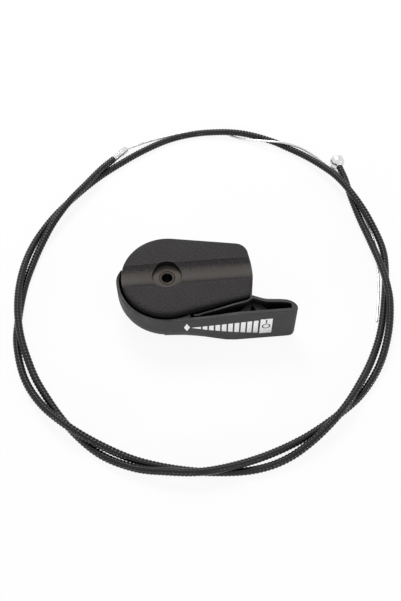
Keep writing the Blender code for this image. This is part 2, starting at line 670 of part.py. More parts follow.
def make_cover(pivot, plastic, steel):
    cover = prism("cable_cover", housing_outline(FIT), COVER_BOTTOM, COVER_TOP, plastic, pivot)
    cut(cover, cylinder("cover_mouth", COVER_INNER_RADIUS, 0, HOUSING_TOP, segments=64, parent=pivot))
    for i, place in enumerate(SCREW_PLACES):
        head_top = COVER_BOTTOM + SCREW_HEAD_DEPTH
        sink = turned(
            f"countersink_{i}",
            [
                (0, COVER_BOTTOM - THROUGH),
                (SCREW_HEAD_RADIUS + FIT, COVER_BOTTOM - THROUGH),
                (SCREW_HEAD_RADIUS + FIT, COVER_BOTTOM + FIT),
                (SCREW_RADIUS + FIT, head_top + FIT),
                (SCREW_RADIUS + FIT, COVER_TOP + THROUGH),
                (0, COVER_TOP + THROUGH),
            ],
            24,
            parent=pivot,
        )
        sink.location = (*place, 0)
        cut(cover, sink)
        make_screw(f"cover_screw_{i + 1}", place, head_top, steel, pivot)


def make_screw(name, place, head_top, steel, pivot):
    tip = COVER_BOTTOM + SCREW_LENGTH
    body = [
        (0, COVER_BOTTOM),
        (SCREW_HEAD_RADIUS, COVER_BOTTOM),
        (SCREW_RADIUS, head_top),
        (SCREW_RADIUS, tip - SCREW_RADIUS),
        (SCREW_RADIUS / 3, tip),
        (0, tip),
    ]
    screw = turned(name, body, 20, steel, pivot)
    screw.location = (*place, 0)
    arm, bar = SCREW_RADIUS * 0.9, SCREW_RADIUS * 0.25
    quarter = [(arm, -bar), (arm, bar), (bar, bar)]
    cross = []
    for turn in range(4):
        for x, y in quarter:
            for _ in range(turn):
                x, y = -y, x
            cross.append((place[0] + x, place[1] + y))
    depth = COVER_BOTTOM + SCREW_HEAD_DEPTH * 0.6
    cut(screw, prism(f"{name}_drive", cross, COVER_BOTTOM - THROUGH, depth, parent=pivot))


def smooth_line(route, count, lowest):
    """Evenly spaced points on one smooth curve through the route's points, none under the lowest height."""
    knots = np.array(route)
    knots = np.vstack([2 * knots[0] - knots[1], knots, 2 * knots[-1] - knots[-2]])
    fine = []
    for before, start, end, after in zip(knots, knots[1:], knots[2:], knots[3:]):
        for t in np.linspace(0, 1, 16, endpoint=False):
            fine.append(
                start
                + 0.5 * t * (end - before)
                + t**2 * (before - 2.5 * start + 2 * end - 0.5 * after)
                + t**3 * (1.5 * (start - end) + 0.5 * (after - before))
            )
    fine.append(knots[-2])
    fine = np.array(fine)
    fine[:, 2] = np.maximum(fine[:, 2], lowest)
    run = np.concatenate([[0], np.cumsum(np.linalg.norm(np.diff(fine, axis=0), axis=1))])
    even = np.linspace(0, run[-1], count)
    return np.stack([np.interp(even, run, fine[:, axis]) for axis in range(3)], axis=1)


def make_tube(name, points, diameter, resolution, material, parent=None):
    curve = bpy.data.curves.new(name, "CURVE")
    curve.dimensions = "3D"
    curve.bevel_depth = diameter / 2
    curve.bevel_resolution = resolution
    curve.use_fill_caps = True
    spline = curve.splines.new("POLY")
    spline.points.add(len(points) - 1)
    for slot, point in zip(spline.points, points):
        slot.co = (*point, 1.0)
        slot.radius = 1.0
    curve.materials.append(material)
    obj = bpy.data.objects.new(name, curve)
    bpy.context.scene.collection.objects.link(obj)
    obj.parent = parent
    return obj


def along(start, direction):
    """Turns a piece made along +Z so that it starts at a point and runs in a direction."""
    direction = mathutils.Vector(direction).normalized()
    turn = direction.to_track_quat("Z", "Y").to_matrix().to_4x4()
    return mathutils.Matrix.Translation(mathutils.Vector(start)) @ turn


def make_cable(black, silver, wire_steel):
    floor = SHEATH_DIAMETER / 2 + FIT / 3
    line = smooth_line(SHEATH_ROUTE, CORD_POINTS, floor)
    make_tube("cable_sheath", line, SHEATH_DIAMETER, 3, black)

    step = (FERRULE_COLLAR_RADIUS - FERRULE_RADIUS) / 2
    collar = FERRULE_LENGTH - FERRULE_COLLAR_LENGTH
    outline = [
        (0, FIT),
        (FERRULE_RADIUS, FIT),
        (FERRULE_RADIUS, collar),
        (FERRULE_COLLAR_RADIUS, collar + step),
        (FERRULE_COLLAR_RADIUS, FERRULE_LENGTH - 4 * step),
        (FERRULE_COLLAR_RADIUS - 3 * step, FERRULE_LENGTH),
        (0, FERRULE_LENGTH),
    ]
    ferrule = turned("sheath_ferrule", outline, 32, silver)
    out = line[0] - line[1]
    out /= np.linalg.norm(out)
    ferrule.matrix_world = along(line[0], out)

    wire_start = line[0] + out * (FERRULE_LENGTH + FIT)
    wire_route = [tuple(wire_start)] + WIRE_ROUTE
    wire_line = smooth_line(wire_route, CORD_POINTS, WIRE_DIAMETER / 2 + FIT / 6)
    make_tube("inner_wire", wire_line, WIRE_DIAMETER, 2, wire_steel)

    out = line[-1] - line[-2]
    out /= np.linalg.norm(out)
    neck = SHEATH_DIAMETER / 2 + FIT / 2
    mouth = NIPPLE_RADIUS + FIT
    edge = (CAP_RADIUS - mouth) / 3
    outline = [
        (0, FIT),
        (neck, FIT),
        (neck + edge, CAP_LENGTH * 0.14),
        (CAP_RADIUS - edge, CAP_LENGTH * 0.32),
        (CAP_RADIUS, CAP_LENGTH * 0.5),
        (CAP_RADIUS, CAP_LENGTH - edge),
        (CAP_RADIUS - edge, CAP_LENGTH),
        (mouth, CAP_LENGTH),
        (mouth, CAP_LENGTH - CAP_MOUTH_DEPTH),
        (0, CAP_LENGTH - CAP_MOUTH_DEPTH),
    ]
    cap = turned("sheath_cap", outline, 40, silver)
    cap.matrix_world = along(line[-1], out)
    low = CAP_LENGTH - CAP_MOUTH_DEPTH + FIT
    crown = arc((0, low + NIPPLE_LENGTH - NIPPLE_RADIUS / 2), 1, 0, 90, 4)
    outline = [(0, low), (NIPPLE_RADIUS, low)]
    for cosine, height in crown[:-1]:
        sine = height - crown[0][1]
        outline.append((NIPPLE_RADIUS * cosine, crown[0][1] + sine * NIPPLE_RADIUS / 2))
    outline.append((0, low + NIPPLE_LENGTH))
    nipple = turned("end_nipple", outline, 32, silver)
    nipple.matrix_world = along(line[-1], out)


def main():
    clear_scene()
    housing_plastic = make_material("housing_plastic", (0.045, 0.042, 0.042), 0.6)
    lever_plastic = make_material("lever_plastic", (0.040, 0.040, 0.042), 0.42)
    nylon = make_material("nylon", (0.75, 0.73, 0.66), 0.5)
    steel = make_material("zinc_steel", (0.55, 0.55, 0.54), 0.35, 1.0)
    spring_steel = make_material("spring_steel", (0.35, 0.35, 0.36), 0.3, 1.0)
    silver = make_material("plated_brass", (0.80, 0.80, 0.80), 0.25, 1.0)
    sheath_black = make_material("sheath_black", (0.018, 0.018, 0.019), 0.35)
    wire_steel = make_material("wire_steel", (0.6, 0.6, 0.6), 0.3, 1.0)

    pivot = bpy.data.objects.new("pivot", None)
    bpy.context.scene.collection.objects.link(pivot)
    pivot.location = PIVOT
    make_housing(pivot, housing_plastic)
    make_lever(pivot, lever_plastic)
    make_pivot_stack(pivot, steel, nylon, spring_steel)
    make_click_stop(pivot, spring_steel)
    make_cover(pivot, housing_plastic, steel)
    make_cable(sheath_black, silver, wire_steel)


main()
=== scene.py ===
"""Looks of the throttle control lever and its loose cable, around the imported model. Metres, +Z up."""

import math

import bmesh
import bpy
import mathutils
import numpy as np
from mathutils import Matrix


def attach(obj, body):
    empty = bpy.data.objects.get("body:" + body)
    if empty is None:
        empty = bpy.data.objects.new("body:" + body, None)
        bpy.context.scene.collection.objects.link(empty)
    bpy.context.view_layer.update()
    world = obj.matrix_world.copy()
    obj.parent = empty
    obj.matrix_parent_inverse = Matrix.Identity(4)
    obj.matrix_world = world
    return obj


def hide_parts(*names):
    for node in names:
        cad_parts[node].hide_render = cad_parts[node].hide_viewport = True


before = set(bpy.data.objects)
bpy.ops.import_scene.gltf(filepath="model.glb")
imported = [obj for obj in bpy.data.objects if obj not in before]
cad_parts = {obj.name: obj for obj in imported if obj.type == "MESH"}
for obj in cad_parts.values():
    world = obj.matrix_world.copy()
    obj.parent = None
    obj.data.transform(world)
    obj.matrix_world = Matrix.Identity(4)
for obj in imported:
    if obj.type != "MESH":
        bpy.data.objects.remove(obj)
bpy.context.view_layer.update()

# Camera, from the photograph
CAMERA_PLACE = (-0.02542, -0.25918, 0.408)
CAMERA_TILT = 32.5
CAMERA_TURN = -5.2
CAMERA_NEAR = 0.01
LENS_MM = 47.5
SENSOR_MM = 36.0

# Floor and light. Each lamp has its place, size and power
FLOOR_HALF = 1.5
FLOOR_DROP = 0.00005
FLOOR_COLOUR = (0.95, 0.95, 0.95, 1)
FLOOR_ROUGHNESS = 0.8
BRIGHT_SHARE = 0.9
SKY_LIGHT = 0.5
WHITE = (1, 1, 1, 1)
LAMP_AIM = (0, 0.02, 0)
LAMPS = {
    "back_lamp": ((-0.1, 0.55, 0.75), 0.35, 4.6),
    "right_lamp": ((0.72, -0.58, 0.2), 0.1, 2.2),
    "left_lamp": ((-0.62, -0.68, 0.22), 0.1, 2.0),
}

# Cable, as in the part's source
SHEATH_DIAMETER = 0.0045
WIRE_DIAMETER = 0.0014
CAP_RADIUS = 0.0047
CAP_LENGTH = 0.0072
CAP_MOUTH_DEPTH = 0.0030
NIPPLE_RADIUS = 0.0029
NIPPLE_LENGTH = 0.0050
FERRULE_RADIUS = 0.0020
FERRULE_COLLAR_RADIUS = 0.0023
FERRULE_LENGTH = 0.0140
FERRULE_COLLAR_LENGTH = 0.0062
FIT = 0.0003
FLOOR_GAP = 0.0001

# Cable detail that only the looks have. Crimps, shoulders, dome and dimple are shares of their pieces
RIB_PITCH = 0.0021
RIB_DEPTH = 0.00032
RINGS_A_RIB = 6
SHEATH_SIDES = 18
STRANDS = 7
STRAND_PITCH = 0.009
STRAND_DEPTH = 0.00012
WIRE_RING_GAP = 0.0005
WIRE_SIDES = 28
CRIMP_PLACES = (0.22, 0.42, 0.62)
CRIMP_DEPTH = 0.00022
CRIMP_HALF = 0.0004
CRIMP_FLOOR_HALF = 0.0001
FERRULE_ROUNDING = 0.00025
CAP_SHOULDERS = (0.14, 0.32, 0.5)
CAP_ROUNDING = 0.0004
NIPPLE_DOME = ((1.0, 0.5), (0.86, 0.2), (0.5, 0.0), (0.3, 0.0))
NIPPLE_DIMPLE = 0.24
NIPPLE_ROUNDING = 0.0005

# How fine and how sharp the meshes are
TURNED_SIDES = 64
SPLINE_STEPS = 32
ROUNDING_STEPS = 5
LONGEST_CUT = 0.45
SHARP_ANGLE = 50

# Places on the lever unit, as in the part's source
PIVOT = (-0.02135, 0.00072)
RECESS_RADIUS = 0.0089
SADDLE_FLOOR = 0.0267
HOUSING_TOP = 0.030
FRONT_FACE_Y = -0.0283

# Noise of the finishes: cycles to the metre, and detail
SPECKLES = (1100.0, 2.0)
MOULDING_PATCHES = (110.0, 3.0)
GRAIN = (2600.0, 3.0)
# Breaks in the painted edge highlight
EDGE_LIGHT_BREAKS = (260.0, 4.0)
METAL_PATCHES = (420.0, 4.0)
TOOL_LINES = (3200.0, 1.0)
SADDLE_PITS = (1300.0, 4.0)
PAINT_WEAR = (900.0, 4.0)

# What the finishes make of a value: from low and high, to start and end
# Where edges get the painted highlight, and where its breaks fall
EDGE_RANGE = (0.995, 0.9)
BREAK_RANGE = (0.35, 0.6, 0.35, 1.0)
# How open a place must be to escape the painted shade in recesses
CLEAR_RANGE = (0.3, 0.92)
PIT_RANGE = (0.4, 0.62, 0.35, 1.45)
# Where the saddle's floor is painted paler, as rubbing and as painted light
RUBBED_AND_LIT_SLOPES = (0.86, 1.0)
# How much faces that don't look up are darkened, as painted shade
SIDE_SHADE_SLOPES = (0.4, 0.8, 0.3, 1.0)
STAIN_SLOPES = (0.6, 0.96, 0.0, 0.8)
PAINT_RANGE = (0.28, 0.36, 0.45, 0.96)

# Strength, reach and colour of the finishes' detail
BEVEL_SAMPLES = 6
# Samples of the painted shade in recesses
RECESS_SHADE_SAMPLES = 8
PATCH_STRENGTH = 0.5
PATCH_GLOSS = 0.35
# Width of the painted edge highlight
EDGE_LIGHT_WIDTH = 0.0004
# How dark the painted shade in recesses gets
MOULDING_RECESS_SHADE = 0.92
TOOL_LINE_STRETCH = (0.35, 0.35, 4.0)
TOOL_LINE_RELIEF = 0.000008
SADDLE_FADE = 0.0006
# How much, and to what colour, the saddle's floor is painted paler, as rubbing and as painted light
RUBBED_AND_LIT_SHARE = 0.7
RUBBED_AND_LIT_COLOUR = (0.115, 0.105, 0.098, 1)
STAIN_FROM = 0.0004
STAIN_FULL = -0.0002
STAIN_COLOUR = (0.135, 0.116, 0.1, 1)
PAINT_COLOUR = (0.93, 0.93, 0.94, 1)

# Painted marks on the handle's front, in millimetres: along from the pivot, and up from the floor.
# The bars' lower edge is a curve and their upper edge a straight line, given from the highest power down.
# The diamond and the square each have their middle along, their middle up, half their width and height
MM = 1000.0
BARS_FROM = 11.7
BARS_TO = 50.2
BAR_PITCH = 3.675
BAR_START = 18.09
BAR_SHARE = 0.735
WEDGE_TO = 16.9
BARS_FLOOR = (0.002876, -0.4520, 22.28)
BARS_TOP = (0.0627, 16.77)
DIAMOND = (9.1, 18.2, 1.71, 4.07)
SQUARE = (54.85, 13.35, 3.5, 7.5)
RING_RADIUS = 2.1
RING_LINE = 0.38
RING_BAR = 1.9
RING_BAR_DROP = 2.6

# Middle lines of the sheath and of the bare wire, as in the part's source
SHEATH_ROUTE = [
    (-0.0508, 0.1153, 0.0048), (-0.0591, 0.1055, 0.0067), (-0.0691, 0.0928, 0.0074),
    (-0.0805, 0.0787, 0.0074), (-0.0904, 0.0638, 0.0060), (-0.0973, 0.0508, 0.0038),
    (-0.1031, 0.0365, 0.0024), (-0.1084, 0.0175, 0.0023), (-0.1114, -0.0045, 0.0023),
    (-0.1119, -0.0225, 0.0023), (-0.1071, -0.0445, 0.0026), (-0.0971, -0.0630, 0.0048),
    (-0.0826, -0.0783, 0.0074), (-0.0651, -0.0905, 0.0054), (-0.0461, -0.1001, 0.0026),
    (-0.0256, -0.1068, 0.0023), (-0.0051, -0.1105, 0.0023), (0.0159, -0.1113, 0.0023),
    (0.0339, -0.1073, 0.0027), (0.0509, -0.0983, 0.0052), (0.0689, -0.0835, 0.0074),
    (0.0829, -0.0665, 0.0052), (0.0944, -0.0490, 0.0026), (0.1034, -0.0300, 0.0023),
    (0.1109, -0.0055, 0.0023), (0.1153, 0.0145, 0.0023), (0.1161, 0.0275, 0.0026),
    (0.1136, 0.0410, 0.0042), (0.1089, 0.0555, 0.0070), (0.1025, 0.0705, 0.0088),
    (0.0961, 0.0845, 0.0079), (0.0879, 0.0973, 0.0056), (0.0795, 0.1078, 0.0036),
    (0.0689, 0.1175, 0.0024), (0.0584, 0.1250, 0.0023), (0.0469, 0.1299, 0.0034),
    (0.0349, 0.1331, 0.0042), (0.0219, 0.1355, 0.0034), (0.0069, 0.1363, 0.0023),
    (-0.0111, 0.1325, 0.0023), (-0.0291, 0.1241, 0.0023), (-0.0461, 0.1133, 0.0023),
    (-0.0631, 0.1005, 0.0023), (-0.0811, 0.0828, 0.0023), (-0.0941, 0.0665, 0.0023),
    (-0.1041, 0.0480, 0.0029), (-0.1095, 0.0265, 0.0059), (-0.1113, 0.0045, 0.0074),
    (-0.1096, -0.0165, 0.0064), (-0.1045, -0.0355, 0.0036), (-0.0976, -0.0520, 0.0023),
    (-0.0831, -0.0758, 0.0023), (-0.0661, -0.0941, 0.0023), (-0.0471, -0.1048, 0.0040),
    (-0.0291, -0.1095, 0.0066), (-0.0121, -0.1115, 0.0074), (0.0059, -0.1095, 0.0065),
    (0.0269, -0.1035, 0.0035), (0.0489, -0.0945, 0.0023), (0.0694, -0.0825, 0.0023),
    (0.0839, -0.0713, 0.0023), (0.0969, -0.0550, 0.0028), (0.1059, -0.0355, 0.0048),
    (0.1105, -0.0170, 0.0070), (0.1115, -0.0025, 0.0074), (0.1111, 0.0110, 0.0066),
    (0.1089, 0.0325, 0.0044), (0.1061, 0.0510, 0.0038), (0.1039, 0.0695, 0.0040),
    (0.1029, 0.0835, 0.0043), (0.1010, 0.0941, 0.0049),
]

WIRE_ROUTE = [
    (-0.0351, 0.1289, 0.0022), (-0.0271, 0.1327, 0.0013), (-0.0166, 0.1361, 0.0008),
    (-0.0051, 0.1387, 0.0008), (0.0069, 0.1401, 0.0008), (0.0179, 0.1395, 0.0008),
    (0.0269, 0.1365, 0.0008), (0.0374, 0.1303, 0.0012), (0.0494, 0.1247, 0.0040),
    (0.0589, 0.1211, 0.0057), (0.0669, 0.1187, 0.0059), (0.0774, 0.1148, 0.0042),
    (0.0867, 0.1091, 0.0014), (0.0944, 0.1008, 0.0008), (0.1009, 0.0909, 0.0008),
    (0.1052, 0.0790, 0.0008), (0.1075, 0.0665, 0.0008), (0.1107, 0.0515, 0.0008),
    (0.1123, 0.0375, 0.0008), (0.1125, 0.0245, 0.0008), (0.1107, 0.0132, 0.0008),
    (0.1078, -0.0031, 0.0008), (0.1018, -0.0255, 0.0008),
]


def make_camera():
    camera = bpy.data.cameras.new("camera")
    camera.lens = LENS_MM
    camera.sensor_width = SENSOR_MM
    camera.sensor_fit = "AUTO"
    camera.clip_start = CAMERA_NEAR
    obj = bpy.data.objects.new("camera", camera)
    obj.location = CAMERA_PLACE
    obj.rotation_euler = (math.radians(CAMERA_TILT), 0, math.radians(CAMERA_TURN))
    bpy.context.scene.collection.objects.link(obj)
    bpy.context.scene.camera = obj


# Shader helpers


def put(tree, kind, values=None, **settings):
    """A new shader node. Each value goes into the socket of that name or number."""
    made = tree.nodes.new("ShaderNode" + kind)
    for setting, value in settings.items():
        setattr(made, setting, value)
    for socket, value in (values or {}).items():
        feed(tree, made.inputs[socket], value)
    return made


def feed(tree, socket, value):
    """Links the socket to the value if that is a socket too, and else sets it."""
    if isinstance(value, bpy.types.NodeSocket):
        tree.links.new(value, socket)
    else:
        socket.default_value = value


def maths(tree, operation, *values):
    return put(tree, "Math", dict(enumerate(values)), operation=operation).outputs[0]


def both(tree, *masks):
    share = masks[0]
    for mask in masks[1:]:
        share = maths(tree, "MULTIPLY", share, mask)
    return share


def either(tree, *masks):
    share = masks[0]
    for mask in masks[1:]:
        share = maths(tree, "MAXIMUM", share, mask)
    return share


def within(tree, value, middle, half):
    return maths(tree, "COMPARE", value, middle, half)


def distance(tree, across, along):
    squares = [maths(tree, "POWER", offset, 2.0) for offset in (across, along)]
    return maths(tree, "SQRT", maths(tree, "ADD", *squares))


def ramp(tree, value, low, high, start=0.0, end=1.0):
    """The value brought from the range low to high to the range start to end, and held there."""
    values = {"Value": value, "From Min": low, "From Max": high, "To Min": start, "To Max": end}
    return put(tree, "MapRange", values).outputs["Result"]


def blend_colour(tree, share, first, second, way="MIX"):
    mixed = put(tree, "Mix", {0: share, 6: first, 7: second}, data_type="RGBA", blend_type=way)
    return mixed.outputs[2]


def shade(tree, colour, light):
    return blend_colour(tree, 1.0, colour, light, "MULTIPLY")


def object_place(tree):
    return put(tree, "TexCoord").outputs["Object"]


def split(tree, vector):
    return put(tree, "SeparateXYZ", {0: vector}).outputs


def noise(tree, place, scale, detail):
    return put(tree, "TexNoise", {"Vector": place, "Scale": scale, "Detail": detail}).outputs[0]


def uneven(tree, place, scale, detail):
    """Noise about zero."""
    return maths(tree, "SUBTRACT", noise(tree, place, scale, detail), 0.5)


def new_group(name, takes, gives):
    """A shader node group, with the sockets that it takes its values from and puts them out to."""
    group = bpy.data.node_groups.new(name, "ShaderNodeTree")
    for socket, kind, value in takes:
        made = group.interface.new_socket(name=socket, in_out="INPUT", socket_type="NodeSocket" + kind)
        made.default_value = value
    for socket, kind in gives:
        group.interface.new_socket(name=socket, in_out="OUTPUT", socket_type="NodeSocket" + kind)
    given = group.nodes.new("NodeGroupInput").outputs
    end = group.nodes.new("NodeGroupOutput").inputs
    return group, given, end


# Effects that several finishes share


def make_moulding_grain():
    """A moulding's fine grain: speckled colour, uneven gloss and small bumps."""
    group, given, end = new_group(
        "moulding_grain",
        [
            ("Colour", "Color", (0.02, 0.02, 0.02, 1)),
            ("Speckle", "Float", 0.5),
            ("Patches", "Float", 0.3),
            ("Roughness", "Float", 0.5),
        ],
        [("Colour", "Color"), ("Roughness", "Float"), ("Height", "Float")],
    )
    place = object_place(group)
    patches = uneven(group, place, *MOULDING_PATCHES)
    light = maths(group, "MULTIPLY_ADD", uneven(group, place, *SPECKLES), given["Speckle"], 1.0)
    light = maths(group, "MULTIPLY_ADD", patches, given["Patches"], light)
    feed(group, end["Colour"], shade(group, given["Colour"], light))
    feed(group, end["Roughness"], maths(group, "MULTIPLY_ADD", patches, PATCH_GLOSS, given["Roughness"]))
    feed(group, end["Height"], noise(group, place, *GRAIN))
    return group


def make_painted_edge_highlight():
    """Edges painted paler as a highlight and as wear, more in some places than in others."""
    group, given, end = new_group(
        "painted_edge_highlight",
        [
            ("Colour", "Color", (0.02, 0.02, 0.02, 1)),
            ("Edge Light Colour", "Color", (0.2, 0.2, 0.2, 1)),
            ("Width", "Float", 0.0005),
            ("Amount", "Float", 0.8),
        ],
        [("Colour", "Color")],
    )
    rounded_off = put(group, "Bevel", {"Radius": given["Width"]}, samples=BEVEL_SAMPLES).outputs[0]
    true = put(group, "NewGeometry").outputs["Normal"]
    agree = put(group, "VectorMath", {0: rounded_off, 1: true}, operation="DOT_PRODUCT").outputs["Value"]
    # The rounded-off normal marks the edges, which get the painted highlight
    edge = ramp(group, agree, *EDGE_RANGE)
    broken = ramp(group, noise(group, object_place(group), *EDGE_LIGHT_BREAKS), *BREAK_RANGE)
    share = both(group, edge, broken, given["Amount"])
    feed(group, end["Colour"], blend_colour(group, share, given["Colour"], given["Edge Light Colour"]))
    return group


def make_painted_recess_shade():
    """Painted shade: the colour darkened in gaps and corners, as far as ambient occlusion finds them closed
    in.
    """
    group, given, end = new_group(
        "painted_recess_shade",
        [
            ("Colour", "Color", (0.02, 0.02, 0.02, 1)),
            ("Reach", "Float", 0.008),
            ("Amount", "Float", 0.9),
        ],
        [("Colour", "Color")],
    )
    # Ambient occlusion finds the closed-in places, whose colour gets painted shade
    open_sky = put(group, "AmbientOcclusion", {"Distance": given["Reach"]}, samples=RECESS_SHADE_SAMPLES)
    closed = maths(group, "SUBTRACT", 1.0, ramp(group, open_sky.outputs["AO"], *CLEAR_RANGE))
    kept = maths(group, "SUBTRACT", 1.0, both(group, closed, given["Amount"]))
    feed(group, end["Colour"], shade(group, given["Colour"], kept))
    return group


def make_tool_lines():
    """Fine lines and dull patches on metal from turning, drawing and handling."""
    group, given, end = new_group(
        "tool_lines",
        [
            ("Colour", "Color", (0.6, 0.6, 0.6, 1)),
            ("Roughness", "Float", 0.25),
            ("Dullness", "Float", 0.3),
        ],
        [("Colour", "Color"), ("Roughness", "Float"), ("Height", "Float")],
    )
    place = object_place(group)
    patches = uneven(group, place, *METAL_PATCHES)
    stretched = put(group, "VectorMath", {0: place, 1: TOOL_LINE_STRETCH}, operation="MULTIPLY").outputs[0]
    dulled = maths(group, "MULTIPLY_ADD", patches, given["Dullness"], given["Roughness"])
    light = maths(group, "MULTIPLY_ADD", patches, given["Dullness"], 1.0)
    feed(group, end["Colour"], shade(group, given["Colour"], light))
    feed(group, end["Roughness"], dulled)
    feed(group, end["Height"], noise(group, stretched, *TOOL_LINES))
    return group


# Finishes


def new_material(name, **sockets):
    """A material and the plain values of its shader's sockets."""
    material = bpy.data.materials.new(name)
    material.use_nodes = True
    tree = material.node_tree
    shader = tree.nodes["Principled BSDF"]
    for socket, value in sockets.items():
        shader.inputs[socket.replace("_", " ")].default_value = value
    return material, tree, shader


def finish_surface(tree, shader, colour, roughness, height, relief):
    """Feeds a finish's colour, roughness and small relief into its shader."""
    feed(tree, shader.inputs["Base Color"], colour)
    feed(tree, shader.inputs["Roughness"], roughness)
    raised = put(tree, "Bump", {"Height": height, "Distance": relief, "Strength": 1.0})
    feed(tree, shader.inputs["Normal"], raised.outputs["Normal"])


def moulded(
    name,
    effects,
    colour,
    roughness,
    edge_light,
    speckle,
    specular=0.5,
    relief=0.00003,
    reach=0.02,
    rubbed_and_lit=0.7,
    extra=None,
):
    """A moulded plastic: grain, edges painted paler as a highlight and as wear, what extra adds to its
    colour, and painted shade in its recesses.
    """
    material, tree, shader = new_material(name, Specular_IOR_Level=specular)
    grain = put(
        tree,
        "Group",
        {"Colour": (*colour, 1), "Speckle": speckle, "Patches": PATCH_STRENGTH, "Roughness": roughness},
        node_tree=effects["grain"],
    ).outputs
    # Edges painted paler: a painted highlight, with wear
    tint = put(
        tree,
        "Group",
        {"Colour": grain["Colour"], "Edge Light Colour": (*edge_light, 1), "Width": EDGE_LIGHT_WIDTH, "Amount": rubbed_and_lit},
        node_tree=effects["edges"],
    ).outputs["Colour"]
    if extra:
        tint = extra(tree, tint)
    # Painted shade in gaps, corners and recesses
    recess_shade = put(
        tree,
        "Group",
        {"Colour": tint, "Reach": reach, "Amount": MOULDING_RECESS_SHADE},
        node_tree=effects["recess_shade"],
    ).outputs
    finish_surface(tree, shader, recess_shade["Colour"], grain["Roughness"], grain["Height"], relief)
    return material


def metal(name, effects, colour, roughness, dullness, recess_shade_amount=0.6, reach=0.004):
    """A metal with tool lines, dull patches and painted shade in its corners."""
    material, tree, shader = new_material(name, Metallic=1.0)
    lines = put(
        tree,
        "Group",
        {"Colour": (*colour, 1), "Roughness": roughness, "Dullness": dullness},
        node_tree=effects["lines"],
    ).outputs
    # Painted shade in the metal's corners
    recess_shade = put(
        tree,
        "Group",
        {"Colour": lines["Colour"], "Reach": reach, "Amount": recess_shade_amount},
        node_tree=effects["recess_shade"],
    ).outputs
    finish_surface(tree, shader, recess_shade["Colour"], lines["Roughness"], lines["Height"], TOOL_LINE_RELIEF)
    return material


def saddle_wear_and_painted_light(tree, tint):
    """The saddle is pitted, its floor painted paler as rubbing by the bar and as painted light, faces that
    don't look up darkened as painted shade, and rust stains the recess.
    """
    place = split(tree, object_place(tree))
    upward = split(tree, put(tree, "NewGeometry").outputs["Normal"])["Z"]
    low = ramp(tree, place["Z"], HOUSING_TOP - SADDLE_FADE, SADDLE_FLOOR + SADDLE_FADE)
    pits = ramp(tree, noise(tree, object_place(tree), *SADDLE_PITS), *PIT_RANGE)
    tint = shade(tree, tint, ramp(tree, low, 0.0, 1.0, 1.0, pits))
    # The saddle's upward floor painted paler: rubbing by the bar, and painted light
    rubbed_and_lit = both(tree, low, ramp(tree, upward, *RUBBED_AND_LIT_SLOPES), RUBBED_AND_LIT_SHARE)
    tint = blend_colour(tree, rubbed_and_lit, tint, RUBBED_AND_LIT_COLOUR)
    # Painted shade: faces that don't look up are darkened
    tint = shade(tree, tint, ramp(tree, upward, *SIDE_SHADE_SLOPES))
    offsets = [maths(tree, "SUBTRACT", place[axis], middle) for axis, middle in zip("XY", PIVOT)]
    in_recess = ramp(tree, distance(tree, *offsets), RECESS_RADIUS + STAIN_FROM, RECESS_RADIUS + STAIN_FULL)
    stained = both(tree, in_recess, ramp(tree, upward, *STAIN_SLOPES))
    return blend_colour(tree, stained, tint, STAIN_COLOUR)


def growing_bars(tree, along, height):
    curve, slope, start = BARS_FLOOR
    floor = maths(tree, "MULTIPLY_ADD", along, curve, slope)
    floor = maths(tree, "MULTIPLY_ADD", floor, along, start)
    top = maths(tree, "MULTIPLY_ADD", along, *BARS_TOP)
    turn = maths(tree, "DIVIDE", maths(tree, "SUBTRACT", along, BAR_START), BAR_PITCH)
    in_bar = maths(tree, "LESS_THAN", maths(tree, "FRACT", turn), BAR_SHARE)
    in_wedge = maths(tree, "LESS_THAN", along, WEDGE_TO)
    return both(
        tree,
        either(tree, in_bar, in_wedge),
        within(tree, along, (BARS_FROM + BARS_TO) / 2, (BARS_TO - BARS_FROM) / 2),
        maths(tree, "GREATER_THAN", height, floor),
        maths(tree, "LESS_THAN", height, top),
    )


def plain_diamond(tree, along, height):
    middle, level, half_width, half_height = DIAMOND
    aside = maths(tree, "ABSOLUTE", maths(tree, "SUBTRACT", along, middle))
    above = maths(tree, "ABSOLUTE", maths(tree, "SUBTRACT", height, level))
    aside = maths(tree, "DIVIDE", aside, half_width)
    above = maths(tree, "DIVIDE", above, half_height)
    return maths(tree, "LESS_THAN", maths(tree, "ADD", aside, above), 1.0)


def ringed_square(tree, along, height):
    middle, level, half_width, half_height = SQUARE
    aside = maths(tree, "SUBTRACT", along, middle)
    above = maths(tree, "SUBTRACT", height, level)
    ring = within(tree, distance(tree, aside, above), RING_RADIUS, RING_LINE)
    bar_middle = half_height - RING_BAR_DROP
    bar = both(tree, within(tree, aside, 0.0, RING_LINE), within(tree, above, bar_middle, RING_BAR))
    return both(
        tree,
        within(tree, along, middle, half_width),
        within(tree, height, level, half_height),
        maths(tree, "SUBTRACT", 1.0, either(tree, ring, bar)),
    )


def painted_marks(tree, tint):
    """White marks on the handle's front: a diamond, growing bars, and a square with a ring and a bar."""
    place = object_place(tree)
    axes = split(tree, place)
    along = maths(tree, "MULTIPLY_ADD", axes["X"], MM, -MM * PIVOT[0])
    height = maths(tree, "MULTIPLY", axes["Z"], MM)
    marks = [mark(tree, along, height) for mark in (growing_bars, plain_diamond, ringed_square)]
    front = maths(tree, "LESS_THAN", axes["Y"], FRONT_FACE_Y)
    kept = ramp(tree, noise(tree, place, *PAINT_WEAR), *PAINT_RANGE)
    return blend_colour(tree, both(tree, either(tree, *marks), front, kept), tint, PAINT_COLOUR)


